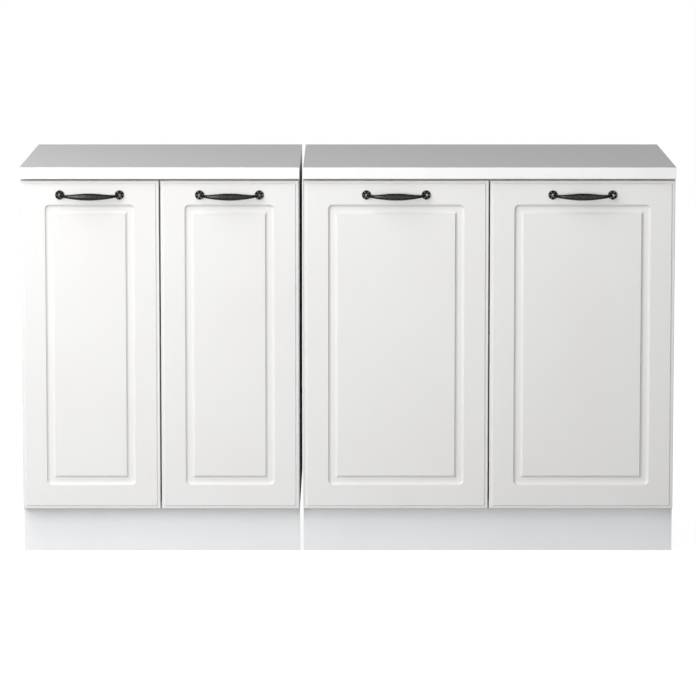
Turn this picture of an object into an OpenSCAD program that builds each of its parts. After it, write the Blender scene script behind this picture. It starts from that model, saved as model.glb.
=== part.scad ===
// A pair of low kitchen base units that stand side by side on adjustable legs.
// Millimetres. X runs to the right, the doors face -Y, and the floor is z = 0.
// The origin is on the floor, in the middle of the pair's outline with its handles.

/* [Units] */
// Width of the narrow unit on the left
narrow_w = 600; // [450:10:700]
// Width of the wide unit on the right
wide_w = 800; // [600:10:1000]
// Clear gap between the two units
unit_gap = 8; // [7:0.5:40]

/* [Carcass] */
// Height of the side panels
carcass_h = 720; // [600:10:900]
// Depth of the side panels, front to back
carcass_d = 560; // [500:5:620]
// Thickness of the carcass boards
panel_t = 16; // [15:0.5:19]
// Thickness of the back panel
back_t = 3; // [2.5:0.5:5]
// Distance from the rear edge of the sides to the back panel
back_inset = 12; // [8:1:30]
// Depth of the grooves that hold the back panel
back_groove_d = 7; // [5:0.5:9]
// Play of the back panel in its grooves
back_clear = 0.2; // [0.1:0.1:0.5]
// Depth of the two top rails, front to back
rail_d = 100; // [80:5:130]

/* [Shelf] */
// Setback of the shelf from the front edge of the sides
shelf_setback = 20; // [10:1:60]
// Play of the shelf at each side panel
shelf_clear = 0.8; // [0.5:0.1:2]
// Play of the shelf in front of the back panel
shelf_back_clear = 0.8; // [0.5:0.1:2]
// Diameter of the shelf pin holes
pin_d = 5; // [4:0.5:6]
// Depth of the shelf pin holes
pin_hole_d = 10; // [8:0.5:12]
// Reach of a shelf pin's seat under the shelf
pin_seat = 10; // [8:1:16]
// Distance of the hole lines from the edges of the side panel
line_inset = 37; // [32:1:50]
// Pitch of the holes in a line
line_pitch = 32; // [25:1:40]
// Number of shelf positions
line_rows = 7; // [3:2:9]

/* [Worktop] */
// Thickness of the worktop
worktop_t = 25; // [20:1:40]
// Overhang of the worktop past the door faces
worktop_front = 10; // [4:1:30]
// Overhang of the worktop past the back of the sides
worktop_back = 9; // [0:1:40]
// Rounding of the worktop's long front edges
worktop_edge_r = 1; // [0.5:0.5:3]

/* [Doors] */
// Thickness of the doors
door_t = 18; // [18:0.5:22]
// Space between the doors and the carcass
door_gap = 3; // [2.5:0.5:5]
// Setback of a door from the outer face of its side panel
door_side = 1.5; // [1:0.5:3]
// Space between the two doors of a unit
door_mid = 3; // [2:0.5:6]
// Space between a door and the worktop
door_top = 4; // [3:0.5:10]
// Setback of a door's lower edge from the bottom of the carcass
door_bottom = 3; // [2:0.5:10]

/* [Door routing] */
// Width of the stepped rim round a door
rim_w = 7.5; // [5:0.5:12]
// Drop of the rim below the door's face
rim_drop = 2; // [1:0.25:2.5]
// Rounding of the door's outer edge
rim_round = 1.5; // [0.5:0.25:2.5]
// Distance from the door's edge to the routed groove
groove_inset = 52; // [45:1:80]
// Width of the groove
groove_w = 21; // [14:1:28]
// Depth of the groove
groove_d = 4.8; // [3:0.2:6]

/* [Handles] */
// Distance between the two screws of a handle
handle_pitch = 128; // [96:1:160]
// Distance of the screws below the top of the door
handle_drop = 31; // [20:1:60]
// Reach of the middle of the grip from the door's face to its axis
grip_reach = 25; // [22:0.5:34]
// Distance by which the grip hangs below the screws
grip_sag = 2.5; // [0:0.5:5]
// Diameter of the grip in its middle
grip_d = 15.5; // [10:0.5:18]
// Diameter of the grip at its ends
grip_end_d = 5.2; // [4.5:0.1:6]
// Diameter of the rosettes
rosette_d = 20; // [16:0.5:26]
// Thickness of the rosettes at their rim
rosette_t = 3.5; // [2:0.5:6]
// Diameter of the bosses that carry the grip
boss_d = 9; // [8:0.5:10]
// Number of petals on a rosette
petals = 6; // [4:1:8]
// Diameter of the handle screws
handle_screw_d = 4; // [3:0.5:4.5]
// Depth to which a handle screw enters the handle
handle_screw_in = 7; // [5:0.5:7.5]

/* [Hinges] */
// Distance of the hinge centres from the ends of the door
hinge_end = 100; // [80:5:150]
// Diameter of the hinge cup
cup_d = 35; // [35:0.5:36]
// Depth of the hinge cup
cup_h = 13; // [13:0.1:13.4]
// Distance from the door's edge to the cup
cup_edge = 3; // [3:0.1:3.5]
// Wall of the hinge cup
cup_wall = 0.8; // [0.6:0.1:0.9]
// Thickness of the cup's flange on the door
flange_t = 1; // [0.8:0.1:1.2]
// Distance of the hinge pin from the door's edge
pivot_edge = 7.5; // [7.3:0.1:7.7]
// Distance of the hinge pin behind the door's back face
pivot_deep = 9.2; // [9.1:0.1:9.3]
// Diameter of the hinge pin
hinge_pin_d = 3; // [2.5:0.1:3.1]
// Width of the hinge arm
arm_w = 8; // [6:0.5:8.5]
// Thickness of the hinge arm's neck
neck_t = 2; // [1.5:0.1:2.2]
// Thickness of the mounting plate on the side panel
plate_t = 2.4; // [1.6:0.2:2.6]

/* [Legs and plinth] */
// Height of the carcass above the floor
leg_h = 96; // [90:1:150]
// Distance of the leg axes from the outer faces of the sides
leg_side = 60; // [45:1:120]
// Distance of the leg axes from the front and the back of the carcass
leg_end = 75; // [70:1:120]
// Outer diameter of the leg tubes
tube_d = 36; // [30:1:44]
// Wall of the leg tubes
tube_wall = 4; // [3:0.5:5]
// Diameter of the foot pads
foot_d = 50; // [44:1:56]
// Thickness of the foot pads
foot_t = 8; // [5:0.5:12]
// Play between the foot pads and the ends of the leg tubes
foot_seat = 0.3; // [0.2:0.1:1]
// Play round the foot's stem in its tube
stem_clear = 0.4; // [0.3:0.1:0.8]
// Setback of the plinth from the door faces
plinth_setback = 40; // [30:1:50]
// Thickness of the plinth
plinth_t = 16; // [12:1:19]
// Space between the plinth and the floor
plinth_lift = 1; // [0.5:0.5:5]

/* [Fittings] */
// Diameter of the cam discs
cam_d = 15; // [12:0.5:16]
// Distance of the cam discs from the ends of their board
cam_in = 34; // [24:1:40]
// Diameter of the cam bolts' shanks
cam_bolt_d = 6; // [5:0.5:7]
// Diameter of the dowels
dowel_d = 8; // [6:0.5:9]
// Depth of the dowels in the side panel
dowel_side = 10; // [8:0.5:12]
// Depth of the dowels in the board's end
dowel_end = 20; // [16:1:26]
// Play round bolts, dowels and screws in their holes
hole_clear = 0.2; // [0.1:0.1:0.4]
// Diameter of the worktop screws
top_screw_d = 4; // [3:0.5:5]
// Depth to which a worktop screw enters the worktop
top_screw_in = 14; // [10:1:18]
// Diameter of the door bumpers
bumper_d = 8; // [6:0.5:10]
// Play between a closed door and its bumpers
bumper_clear = 0.3; // [0.2:0.1:0.6]

/* [Hidden] */

$fn = 48;
cut = 1;
white = "#F4F4F2";
board = "#E9E7E2";
grey_top = "#C4C2C4";
iron = "#2B2A28";
steel = "#B9BBBD";
black_plastic = "#202122";
beech = "#D8B98A";
clear_rubber = "#DADDDD";

total_w = narrow_w + unit_gap + wide_w;
narrow_x = -total_w / 2;
wide_x = total_w / 2 - wide_w;
top_z = leg_h + carcass_h;
face_y = -door_gap - door_t;
handle_front = grip_reach + grip_d / 2 * cos(atan(grip_sag / grip_reach));
depth_all = carcass_d + worktop_back + door_gap + door_t + handle_front;
front_y = depth_all / 2 - worktop_back - carcass_d;
door_h = carcass_h - door_top - door_bottom;
door_z = leg_h + door_bottom;
back_y = carcass_d - back_inset - back_t;
bottom_z = leg_h + panel_t;
shelf_z = leg_h + carcass_h / 2;
hinge_zs = [door_z + hinge_end, door_z + door_h - hinge_end];
groove_r = (groove_w * groove_w / 4 + groove_d * groove_d) / (2 * groove_d);
cup_x = cup_edge + cup_d / 2;
pad_fillet = 2;

function door_w(w) = (w - 2 * door_side - door_mid) / 2;

// Places a unit's own frame: x from its left face, y from the carcass front, z from the floor.
module unit(x) {
    translate([x, front_y, 0]) children();
}

// A round bar along X, Y or Z that starts at a point.
module bar_x(p, d, l) {
    translate(p) rotate([0, 90, 0]) cylinder(d = d, h = l);
}
module bar_y(p, d, l) {
    translate(p) rotate([-90, 0, 0]) cylinder(d = d, h = l);
}
module bar_z(p, d, l) {
    translate(p) cylinder(d = d, h = l);
}

// Draws its children as they are for the left side of a unit of width w, or mirrored for the right.
module one_side(w, right) {
    if (right) translate([w, 0, 0]) mirror([1, 0, 0]) children();
    else children();
}
module both_sides(w) {
    one_side(w, false) children();
    one_side(w, true) children();
}

// Places in the carcass where boards meet the sides: cam and dowel lines, as [y, z of the board].
joint_past_leg = 65;
bottom_joint_y = [leg_end + joint_past_leg, carcass_d - leg_end - joint_past_leg];
rail_front_y = rail_d / 2;
rail_rear_y = back_y - rail_d / 2;
rail_z = top_z - panel_t;
cam_lines = [[bottom_joint_y[0], leg_h], [bottom_joint_y[1], leg_h],
    [rail_front_y + line_pitch / 2, rail_z], [rail_rear_y + line_pitch / 2, rail_z]];
dowel_lines = [[bottom_joint_y[0] - line_pitch, leg_h], [bottom_joint_y[1] + line_pitch, leg_h],
    [rail_front_y - line_pitch / 2, rail_z], [rail_rear_y - line_pitch / 2, rail_z]];
cam_roof = 4;
cam_h = panel_t - cam_roof;
cam_bolt_side = 11;
cam_thread_d = 5;

// Holes in the left side panel, seen from inside the carcass.
module side_holes() {
    rows = (line_rows - 1) / 2;
    for (y = [line_inset, carcass_d - line_inset])
        for (i = [-rows:rows])
            bar_x([panel_t - pin_hole_d, y, shelf_z + i * line_pitch], pin_d, pin_hole_d + cut);
    for (z = hinge_zs)
        for (dz = [-line_pitch / 2, line_pitch / 2])
            bar_x([panel_t - plate_screw_in, line_inset, z + dz], plate_screw_d + hole_clear,
                plate_screw_in + cut);
    for (c = cam_lines)
        bar_x([panel_t - cam_bolt_side, c[0], c[1] + panel_t / 2], cam_thread_d + hole_clear,
            cam_bolt_side + cut);
    for (c = dowel_lines)
        bar_x([panel_t - dowel_side, c[0], c[1] + panel_t / 2], dowel_d + hole_clear,
            dowel_side + cut);
}

// Side panel, left hand: bored on its inner face and grooved for the back panel.
module side_panel() {
    color(white) difference() {
        translate([0, 0, leg_h]) cube([panel_t, carcass_d, carcass_h]);
        translate([panel_t - back_groove_d, back_y - back_clear / 2, leg_h - cut])
            cube([back_groove_d + cut, back_t + back_clear, carcass_h + 2 * cut]);
        side_holes();
    }
}

// Cam pockets, bolt bores and dowel holes in the left end of a board.
module board_end_holes(lines_cam, lines_dowel) {
    for (c = lines_cam) {
        bar_z([panel_t + cam_in, c[0], c[1] - cut], cam_d + hole_clear, cam_h + hole_clear + cut);
        bar_x([panel_t - cut, c[0], c[1] + panel_t / 2], cam_bolt_d + 2 * hole_clear, cam_in + cut);
    }
    for (c = lines_dowel)
        bar_x([panel_t - cut, c[0], c[1] + panel_t / 2], dowel_d + hole_clear, dowel_end + cut);
}

// Bottom panel between the sides, with the back panel's groove in its top face.
module bottom_panel(w) {
    color(white) difference() {
        translate([panel_t, 0, leg_h]) cube([w - 2 * panel_t, carcass_d, panel_t]);
        translate([0, back_y - back_clear / 2, bottom_z - back_groove_d])
            cube([w, back_t + back_clear, panel_t]);
        both_sides(w) board_end_holes([cam_lines[0], cam_lines[1]], [dowel_lines[0], dowel_lines[1]]);
        for (p = leg_places(w))
            bar_z([p[0], p[1], leg_h - cut], leg_dowel_d + hole_clear, leg_dowel_h + hole_clear + cut);
    }
}

// Top rail that ties the sides together and takes the worktop screws.
module top_rail(w, mid_y, i) {
    color(white) difference() {
        translate([panel_t, mid_y - rail_d / 2, rail_z]) cube([w - 2 * panel_t, rail_d, panel_t]);
        both_sides(w) board_end_holes([cam_lines[i]], [dowel_lines[i]]);
        for (x = top_screw_xs(w))
            bar_z([x, mid_y, rail_z - cut], top_screw_d + 2 * hole_clear, panel_t + 2 * cut);
    }
}

// Thin back panel, slid down into the grooves.
module back_panel(w) {
    slot = panel_t - back_groove_d + back_clear;
    z = bottom_z - back_groove_d + back_clear;
    color(board) translate([slot, back_y, z]) cube([w - 2 * slot, back_t, top_z - z]);
}

// Shelf on its pins.
module shelf(w) {
    color(white)
        translate([panel_t + shelf_clear, shelf_setback, shelf_z + pin_d / 2])
            cube([w - 2 * panel_t - 2 * shelf_clear, back_y - shelf_back_clear - shelf_setback, panel_t]);
}

// Shelf pins: a round stem in the side and a flat seat under the shelf.
module shelf_pins(w) {
    color(steel) both_sides(w)
        for (y = [line_inset, carcass_d - line_inset]) {
            bar_x([panel_t - pin_hole_d + cut, y, shelf_z], pin_d, pin_hole_d);
            translate([panel_t, y - pin_seat / 2, shelf_z - pin_d / 2]) cube([pin_seat, pin_seat, pin_d]);
        }
}

// Worktop slab with softened front edges.
top_screw_end = 90;
function top_screw_xs(w) = [panel_t + top_screw_end, w - panel_t - top_screw_end];
module worktop(w) {
    y0 = face_y - worktop_front;
    d = carcass_d + worktop_back - y0;
    r = worktop_edge_r;
    color(grey_top) difference() {
        translate([0, y0, top_z]) rotate([90, 0, 90]) linear_extrude(w) {
            translate([r, 0]) square([d - r, worktop_t]);
            translate([0, r]) square([d - r, worktop_t - 2 * r]);
            for (z = [r, worktop_t - r])
                translate([r, z]) circle(r, $fn = 32);
        }
        for (x = top_screw_xs(w))
            for (y = [rail_front_y, rail_rear_y])
                bar_z([x, y, top_z - cut], top_screw_d + hole_clear, top_screw_in + hole_clear + cut);
    }
}

// Worktop screws, driven up through the rails.
top_screw_head_d = 8;
top_screw_head_t = 2.5;
module worktop_screws(w) {
    color(steel)
        for (x = top_screw_xs(w))
            for (y = [rail_front_y, rail_rear_y]) {
                bar_z([x, y, rail_z - top_screw_head_t], top_screw_head_d, top_screw_head_t);
                bar_z([x, y, rail_z - cut], top_screw_d, panel_t + top_screw_in + cut);
            }
}

// Cam discs in the boards and the bolts that run from the sides into them.
module cam_fittings(w) {
    color(steel) both_sides(w)
        for (c = cam_lines) {
            z = c[1] + panel_t / 2;
            difference() {
                bar_z([panel_t + cam_in, c[0], c[1]], cam_d, cam_h);
                bar_x([panel_t + cam_in - cam_d, c[0], z], cam_bolt_d + 2 * hole_clear, cam_d + cut);
            }
            bar_x([panel_t - cam_bolt_side, c[0], z], cam_thread_d, cam_bolt_side);
            bar_x([panel_t, c[0], z], cam_bolt_d, cam_in);
        }
}

// Dowels between the boards and the sides.
module dowels(w) {
    color(beech) both_sides(w)
        for (c = dowel_lines)
            bar_x([panel_t - dowel_side, c[0], c[1] + panel_t / 2], dowel_d, dowel_side + dowel_end);
}

// Legs.
leg_plate = 70;
leg_plate_t = 4;
leg_dowel_d = 10;
leg_dowel_h = 10;
tube_end_z = foot_t + foot_seat;
stem_d = tube_d - 2 * tube_wall - 2 * stem_clear;
stem_top_clear = 3;
function leg_places(w) = [for (y = [leg_end, carcass_d - leg_end]) for (x = [leg_side, w - leg_side]) [x, y]];

// Leg sockets: a plate under the bottom panel, a dowel up into it and a tube down from it.
module leg_sockets(w) {
    color(black_plastic)
        for (p = leg_places(w))
            translate([p[0], p[1], 0]) difference() {
                union() {
                    translate([-leg_plate / 2, -leg_plate / 2, leg_h - leg_plate_t])
                        cube([leg_plate, leg_plate, leg_plate_t]);
                    bar_z([0, 0, leg_h - cut], leg_dowel_d, leg_dowel_h + cut);
                    bar_z([0, 0, tube_end_z], tube_d, leg_h - leg_plate_t / 2 - tube_end_z);
                }
                bar_z([0, 0, tube_end_z - cut], tube_d - 2 * tube_wall,
                    leg_h - leg_plate_t - tube_end_z + cut);
            }
}

// Screw foot: a round pad on the floor with a stem up into the tube.
module foot(p) {
    top = leg_h - leg_plate_t - stem_top_clear;
    color(black_plastic) translate([p[0], p[1], 0]) rotate_extrude()
        polygon([[0, 0], [foot_d / 2, 0], [foot_d / 2, foot_t - pad_fillet],
            [foot_d / 2 - pad_fillet, foot_t], [stem_d / 2, foot_t], [stem_d / 2, top], [0, top]]);
}

// Plinth board in front of the front legs.
plinth_y = face_y + plinth_setback;
plinth_top_clear = 1;
module plinth(w) {
    color(white) translate([0, plinth_y, plinth_lift])
        cube([w, plinth_t, leg_h - plinth_top_clear - plinth_lift]);
}

// Plinth clips: a pad on the board, a web and an open ring that grips the leg tube.
clip_h = 26;
clip_z = 45;
clip_wall = 3;
clip_pad = 44;
clip_web = 12;
clip_clear = 0.1;
clip_past_axis = 7;
module plinth_clips(w) {
    pad_y = plinth_y + plinth_t;
    ring_r = tube_d / 2 + clip_clear + clip_wall;
    color(black_plastic)
        for (p = [leg_places(w)[0], leg_places(w)[1]])
            translate([p[0], 0, clip_z]) difference() {
                union() {
                    translate([-clip_pad / 2, pad_y, 0]) cube([clip_pad, clip_wall, clip_h]);
                    translate([-clip_web / 2, pad_y, 0]) cube([clip_web, p[1] - pad_y, clip_h]);
                    bar_z([0, p[1], 0], 2 * ring_r, clip_h);
                }
                bar_z([0, p[1], -cut], tube_d + 2 * clip_clear, clip_h + 2 * cut);
                translate([-ring_r, p[1] + clip_past_axis, -cut])
                    cube([2 * ring_r, ring_r, clip_h + 2 * cut]);
            }
}

// Cutter for the stepped rim along one edge: x runs in from the edge and y is the depth.
rim_slope = 0.8;
module rim_profile() {
    difference() {
        translate([-cut, -cut]) square([rim_w + cut, rim_drop + rim_round + cut]);
        translate([rim_round, rim_drop]) square([rim_w, rim_round + cut]);
        translate([rim_round, rim_drop + rim_round]) circle(rim_round, $fn = 32);
        polygon([[rim_w - rim_slope, rim_drop], [rim_w + cut, rim_drop],
            [rim_w + rim_slope, -rim_drop]]);
    }
}

// The groove's cutter: runs from corner to corner and a quarter turn outside each corner.
module groove_run(l) {
    linear_extrude(l) translate([0, groove_d - groove_r]) circle(groove_r, $fn = 96);
}
module groove_corner() {
    rotate([-90, 0, 0]) rotate_extrude(angle = 90, $fn = 96) intersection() {
        translate([0, groove_d - groove_r]) circle(groove_r, $fn = 96);
        square([groove_w, groove_w]);
    }
}

// Door slab in its own frame: x from its left edge, y back from its face, z from its lower edge.
module door_slab(dw) {
    a = groove_inset + groove_w / 2;
    difference() {
        cube([dw, door_t, door_h]);
        for (m = [0, 1]) translate([m * dw, 0, 0]) mirror([m, 0, 0]) {
            translate([0, 0, -cut]) linear_extrude(door_h + 2 * cut) rim_profile();
            translate([a, 0, a]) groove_run(door_h - 2 * a);
        }
        for (m = [0, 1]) translate([0, 0, m * door_h]) mirror([0, 0, m]) {
            translate([-cut, 0, 0]) rotate([90, 0, 90]) linear_extrude(dw + 2 * cut)
                mirror([1, -1, 0]) rim_profile();
            translate([a, 0, a]) rotate([0, 90, 0]) groove_run(dw - 2 * a);
        }
        for (m = [0, 1]) for (n = [0, 1])
            translate([m * dw, 0, n * door_h]) mirror([m, 0, 0]) mirror([0, 0, n])
                translate([a, 0, a]) rotate([0, 180, 0]) groove_corner();
    }
}

cup_clear = 0.1;
cup_dowel_in = 9.5;
cup_dowel_z = 22.5;
cup_dowel_d = 8;
cup_dowel_h = 9;

// Door with its hinge cup bores and handle screw holes, left hand.
module door(w, right) {
    dw = door_w(w);
    color(white) one_side(w, right) translate([door_side, face_y, door_z]) difference() {
        door_slab(dw);
        for (z = [hinge_end, door_h - hinge_end]) {
            bar_y([cup_x, door_t - cup_h - cup_clear, z], cup_d + 2 * cup_clear, cup_h + cut);
            for (dz = [-cup_dowel_z, cup_dowel_z])
                bar_y([cup_x + cup_dowel_in, door_t - cup_dowel_h - cup_clear, z + dz],
                    cup_dowel_d + 2 * cup_clear, cup_dowel_h + cut);
        }
        for (x = [dw / 2 - handle_pitch / 2, dw / 2 + handle_pitch / 2])
            bar_y([x, -cut, door_h - handle_drop], handle_screw_d + 2 * hole_clear, door_t + 2 * cut);
    }
}

// Hinge cups: a pressed cup with its flange, two dowels and the hinge pin across it.
flange_ring = 1;
flange_bar_w = 14;
flange_bar_l = 56;
module hinge_cups(w, right) {
    color(steel) one_side(w, right)
        for (z = hinge_zs)
            translate([door_side, -door_gap, z]) {
                difference() {
                    union() {
                        bar_y([cup_x, -cup_h, 0], cup_d, cup_h + flange_t);
                        bar_y([cup_x, 0, 0], cup_d + 2 * flange_ring, flange_t);
                        translate([cup_x + cup_dowel_in - flange_bar_w / 2, 0, -flange_bar_l / 2])
                            cube([flange_bar_w, flange_t, flange_bar_l]);
                        for (dz = [-cup_dowel_z, cup_dowel_z])
                            bar_y([cup_x + cup_dowel_in, -cup_dowel_h, dz], cup_dowel_d, cup_dowel_h);
                    }
                    bar_y([cup_x, -cup_h + cup_wall, 0], cup_d - 2 * cup_wall, cup_h + flange_t + cut);
                }
                intersection() {
                    bar_y([cup_x, -cup_h, 0], cup_d - cup_wall, cup_h);
                    bar_z([pivot_edge, -pivot_deep, -cup_d / 2], hinge_pin_d, cup_d);
                }
            }
}

// Hinge arms: a knuckle on the pin, a cranked neck round the carcass edge and a bar on the plate.
knuckle_wall = 1.05;
knuckle_clear = 0.15;
neck_clear = 0.5;
tongue_t = 2.4;
arm_end_y = 58;
arm_step_y = 8;
arm_crank = 6;
arm_base_w = 16;
arm_base_y = 16;
arm_screw_d = 6;
arm_screw_h = 1.5;
pivot_x = door_side + pivot_edge;
pivot_y = -door_gap - pivot_deep;
module hinge_arm() {
    sweep_r = sqrt(pivot_edge * pivot_edge + pivot_deep * pivot_deep);
    neck_x = pivot_x + sweep_r + neck_clear;
    base_x = panel_t + plate_t;
    difference() {
        union() {
            translate([0, 0, -arm_w / 2]) linear_extrude(arm_w) polygon([
                [base_x, arm_end_y], [base_x, arm_step_y + arm_crank], [neck_x, arm_step_y],
                [neck_x, pivot_y + tongue_t / 2], [pivot_x, pivot_y + tongue_t / 2],
                [pivot_x, pivot_y - tongue_t / 2], [neck_x + neck_t, pivot_y - tongue_t / 2],
                [neck_x + neck_t, arm_end_y]]);
            translate([base_x, arm_base_y, -arm_base_w / 2])
                cube([neck_t, arm_end_y - arm_base_y, arm_base_w]);
            bar_z([pivot_x, pivot_y, -arm_w / 2], hinge_pin_d + 2 * (knuckle_clear + knuckle_wall), arm_w);
            bar_x([neck_x, line_inset, 0], arm_screw_d, neck_t + arm_screw_h);
        }
        bar_z([pivot_x, pivot_y, -arm_w], hinge_pin_d + 2 * knuckle_clear, 2 * arm_w);
    }
}
module hinge_arms(w) {
    color(steel) both_sides(w)
        for (z = hinge_zs)
            translate([0, 0, z]) hinge_arm();
}

// Hinge plates with their two system screws in the side panel.
plate_screw_d = 5;
plate_screw_in = 10;
plate_w = 30;
plate_l = 50;
module hinge_plates(w) {
    color(steel) both_sides(w)
        for (z = hinge_zs) {
            translate([panel_t, line_inset - plate_w / 2, z - plate_l / 2]) cube([plate_t, plate_w, plate_l]);
            for (dz = [-line_pitch / 2, line_pitch / 2])
                bar_x([panel_t - plate_screw_in + cut, line_inset, z + dz], plate_screw_d, plate_screw_in);
        }
}

// Handle in its own frame: x along the grip, y back towards the door's face at 0, z up.
// The grip is an eight-sided bar, thick in the middle, that is swept along a flattened bow.
grip_sides = 8;
grip_rings = 28;
grip_start = 5;
grip_taper = 1.5;
grip_hang = atan(grip_sag / grip_reach);
function grip_t(i) = -cos(grip_start + (180 - 2 * grip_start) * i / grip_rings);
function grip_axis(t) = [t * handle_pitch / 2, -norm([grip_reach, grip_sag]) * sqrt(1 - pow(t, 4)), 0];
function grip_radius(t) = grip_end_d / 2 + (grip_d - grip_end_d) / 2 * pow(cos(90 * t), grip_taper);
function grip_normal(t) = let (d = grip_axis(min(t + 0.002, 1)) - grip_axis(max(t - 0.002, -1)))
    [d[1], -d[0], 0] / norm(d);
function grip_points() = [for (i = [0:grip_rings]) let (t = grip_t(i))
    for (j = [0:grip_sides - 1]) let (a = 360 * j / grip_sides)
        grip_axis(t) + grip_radius(t) * (cos(a) * grip_normal(t) + [0, 0, sin(a)])];
function grip_quads() = [for (i = [0:grip_rings - 1]) for (j = [0:grip_sides - 1])
    let (k = (j + 1) % grip_sides, a = i * grip_sides, b = a + grip_sides)
        [a + j, a + k, b + k, b + j]];
function grip_caps() = [[for (j = [grip_sides - 1:-1:0]) j],
    [for (j = [0:grip_sides - 1]) grip_rings * grip_sides + j]];

// Rosette with a ring of petals and the boss that the grip grows out of.
boss_h = 5;
boss_waist = 0.4;
boss_end = 1.4;
rosette_bevel = 1;
petal_d = 3.6;
petal_rise = 0.7;
module rosette() {
    r = rosette_d / 2;
    b = boss_d / 2;
    rotate([90, 0, 0]) rotate_extrude() polygon([[0, 0], [r, 0], [r, rosette_t / 2],
        [r - rosette_bevel, rosette_t], [b, rosette_t], [b - boss_waist, rosette_t + boss_h / 2],
        [b - boss_end, rosette_t + boss_h], [0, rosette_t + boss_h]]);
    for (i = [0:petals - 1]) rotate([0, (i + 0.5) * 360 / petals, 0])
        translate([(r + b) / 2, petal_rise - rosette_t, 0]) sphere(d = petal_d, $fn = 24);
}
module handle_body() {
    difference() {
        union() {
            rotate([grip_hang, 0, 0]) polyhedron(grip_points(), concat(grip_quads(), grip_caps()));
            for (x = [-handle_pitch / 2, handle_pitch / 2])
                translate([x, 0, 0]) rosette();
        }
        for (x = [-handle_pitch / 2, handle_pitch / 2])
            bar_y([x, -handle_screw_in - hole_clear, 0], handle_screw_d + hole_clear, handle_screw_in + cut);
    }
}

// Where a unit's door has the middle of its handle.
function handle_x(w) = door_side + door_w(w) / 2;
handle_z = door_z + door_h - handle_drop;
module handle(w, right) {
    color(iron) one_side(w, right) translate([handle_x(w), face_y, handle_z]) handle_body();
}

// Handle screws, put in from inside the door.
screw_head_d = 8;
screw_head_t = 2.2;
module handle_screws(w, right) {
    color(steel) one_side(w, right)
        for (x = [-handle_pitch / 2, handle_pitch / 2])
            translate([handle_x(w) + x, -door_gap, handle_z]) {
                bar_y([0, 0, 0], screw_head_d, screw_head_t);
                bar_y([0, -door_t - handle_screw_in, 0], handle_screw_d, door_t + handle_screw_in + cut);
            }
}

// Door bumpers on the front edges of the front rail and the bottom panel, clear of the door's ends.
bumper_x = 20;
bumper_up = 1;
bumper_down = 2;
module bumpers(w) {
    t = door_gap - bumper_clear;
    color(clear_rubber) both_sides(w)
        for (z = [leg_h + panel_t / 2 + bumper_up, rail_z + panel_t / 2 - bumper_down])
            bar_y([w / 2 - bumper_x, -t, z], bumper_d, t);
}

unit(narrow_x) side_panel();  // narrow_side_left
unit(narrow_x) one_side(narrow_w, true) side_panel();  // narrow_side_right
unit(narrow_x) bottom_panel(narrow_w);  // narrow_bottom
unit(narrow_x) top_rail(narrow_w, rail_front_y, 2);  // narrow_rail_front
unit(narrow_x) top_rail(narrow_w, rail_rear_y, 3);  // narrow_rail_rear
unit(narrow_x) back_panel(narrow_w);  // narrow_back_panel
unit(narrow_x) shelf(narrow_w);  // narrow_shelf
unit(narrow_x) shelf_pins(narrow_w);  // narrow_shelf_pins
unit(narrow_x) worktop(narrow_w);  // narrow_worktop
unit(narrow_x) plinth(narrow_w);  // narrow_plinth
unit(narrow_x) plinth_clips(narrow_w);  // narrow_plinth_clips
unit(narrow_x) leg_sockets(narrow_w);  // narrow_leg_sockets
unit(narrow_x) foot(leg_places(narrow_w)[0]);  // narrow_foot_front_left
unit(narrow_x) foot(leg_places(narrow_w)[1]);  // narrow_foot_front_right
unit(narrow_x) foot(leg_places(narrow_w)[2]);  // narrow_foot_rear_left
unit(narrow_x) foot(leg_places(narrow_w)[3]);  // narrow_foot_rear_right
unit(narrow_x) cam_fittings(narrow_w);  // narrow_cam_fittings
unit(narrow_x) dowels(narrow_w);  // narrow_dowels
unit(narrow_x) hinge_plates(narrow_w);  // narrow_hinge_plates
unit(narrow_x) hinge_arms(narrow_w);  // narrow_hinge_arms
unit(narrow_x) door(narrow_w, false);  // narrow_door_left
unit(narrow_x) door(narrow_w, true);  // narrow_door_right
unit(narrow_x) hinge_cups(narrow_w, false);  // narrow_hinge_cups_left
unit(narrow_x) hinge_cups(narrow_w, true);  // narrow_hinge_cups_right
unit(narrow_x) handle(narrow_w, false);  // narrow_handle_left
unit(narrow_x) handle(narrow_w, true);  // narrow_handle_right
unit(narrow_x) handle_screws(narrow_w, false);  // narrow_handle_screws_left
unit(narrow_x) handle_screws(narrow_w, true);  // narrow_handle_screws_right
unit(narrow_x) worktop_screws(narrow_w);  // narrow_worktop_screws
unit(narrow_x) bumpers(narrow_w);  // narrow_bumpers
unit(wide_x) side_panel();  // wide_side_left
unit(wide_x) one_side(wide_w, true) side_panel();  // wide_side_right
unit(wide_x) bottom_panel(wide_w);  // wide_bottom
unit(wide_x) top_rail(wide_w, rail_front_y, 2);  // wide_rail_front
unit(wide_x) top_rail(wide_w, rail_rear_y, 3);  // wide_rail_rear
unit(wide_x) back_panel(wide_w);  // wide_back_panel
unit(wide_x) shelf(wide_w);  // wide_shelf
unit(wide_x) shelf_pins(wide_w);  // wide_shelf_pins
unit(wide_x) worktop(wide_w);  // wide_worktop
unit(wide_x) plinth(wide_w);  // wide_plinth
unit(wide_x) plinth_clips(wide_w);  // wide_plinth_clips
unit(wide_x) leg_sockets(wide_w);  // wide_leg_sockets
unit(wide_x) foot(leg_places(wide_w)[0]);  // wide_foot_front_left
unit(wide_x) foot(leg_places(wide_w)[1]);  // wide_foot_front_right
unit(wide_x) foot(leg_places(wide_w)[2]);  // wide_foot_rear_left
unit(wide_x) foot(leg_places(wide_w)[3]);  // wide_foot_rear_right
unit(wide_x) cam_fittings(wide_w);  // wide_cam_fittings
unit(wide_x) dowels(wide_w);  // wide_dowels
unit(wide_x) hinge_plates(wide_w);  // wide_hinge_plates
unit(wide_x) hinge_arms(wide_w);  // wide_hinge_arms
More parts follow.
